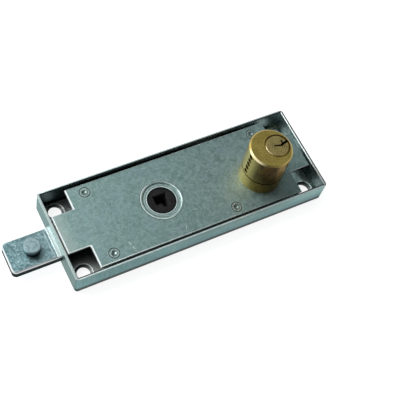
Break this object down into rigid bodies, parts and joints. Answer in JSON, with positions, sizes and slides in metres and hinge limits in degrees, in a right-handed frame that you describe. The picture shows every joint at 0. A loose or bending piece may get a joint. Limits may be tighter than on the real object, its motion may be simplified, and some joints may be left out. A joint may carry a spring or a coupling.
{
  "type": "garage door lock",
  "caption": "Surface-mounted garage door lock: steel tray case with a sprung sliding bolt, a square spindle hub and a round key cylinder.",
  "frame": {"origin": "centre of the outer face of the case back", "axes": "+X along the case away from the bolt, +Y to the long edge opposite the two front posts, +Z out of the cover towards the cylinder's key face"},
  "size_m": [0.182, 0.055, 0.0432],
  "materials": {
    "zinc_plate": "zinc plated sheet steel, dull with fine mottling",
    "bolt_zinc": "zinc plated steel with a coarse blue-grey mottle",
    "stud_steel": "turned steel, zinc plated",
    "hub_plastic": "black moulded nylon",
    "spring_steel": "bright spring steel",
    "brass": "turned brass, satin",
    "plug_brass": "turned brass, satin",
    "cap_brass": "brass, dull",
    "pin_brass": "turned brass, bright"
  },
  "bodies": {
    "case": {"tray": "zinc_plate", "cover_plate": "zinc_plate", "post_front_left": "stud_steel", "post_back_left": "stud_steel", "post_back_right": "stud_steel", "post_front_right": "stud_steel", "return_spring": "spring_steel", "cylinder_body": "brass", "cylinder_clip": "spring_steel", "chamber_cap_1": "cap_brass", "chamber_cap_2": "cap_brass", "chamber_cap_3": "cap_brass", "chamber_cap_4": "cap_brass", "chamber_cap_5": "cap_brass", "driver_pin_1": "pin_brass", "driver_pin_2": "pin_brass", "driver_pin_3": "pin_brass", "driver_pin_4": "pin_brass", "driver_pin_5": "pin_brass", "pin_spring_1": "spring_steel", "pin_spring_2": "spring_steel", "pin_spring_3": "spring_steel", "pin_spring_4": "spring_steel", "pin_spring_5": "spring_steel"},
    "bolt": {"bolt": "bolt_zinc", "bolt_stud": "stud_steel", "spring_rod": "stud_steel"},
    "hub": {"hub": "hub_plastic"},
    "plug": {"plug": "plug_brass", "cam": "stud_steel", "cam_pin": "stud_steel", "cam_screw": "stud_steel", "key_pin_1": "pin_brass", "key_pin_2": "pin_brass", "key_pin_3": "pin_brass", "key_pin_4": "pin_brass", "key_pin_5": "pin_brass"}
  },
  "joints": [
    {"name": "bolt_slide", "type": "slide", "parent": "case", "child": "bolt", "axis": [1, 0, 0], "range_m": [0, 0.008], "stiffness_N_per_m": 150, "springref_m": -0.03, "deforming": ["return_spring"]},
    {"name": "hub_turn", "type": "hinge", "parent": "case", "child": "hub", "pos_m": [-0.015, 0, 0], "axis": [0, 0, -1], "range_deg": [0, 41.1]},
    {"name": "plug_turn", "type": "hinge", "parent": "case", "child": "plug", "pos_m": [0.0481, -0.006, 0], "axis": [0, 0, -1], "range_deg": [0, 90]}
  ],
  "couplings": [
    {"joint": "hub_turn", "follows": "bolt_slide", "rad_per_m": 89.627},
    {"joint": "plug_turn", "follows": "bolt_slide", "rad_per_m": 196.34}
  ]
}
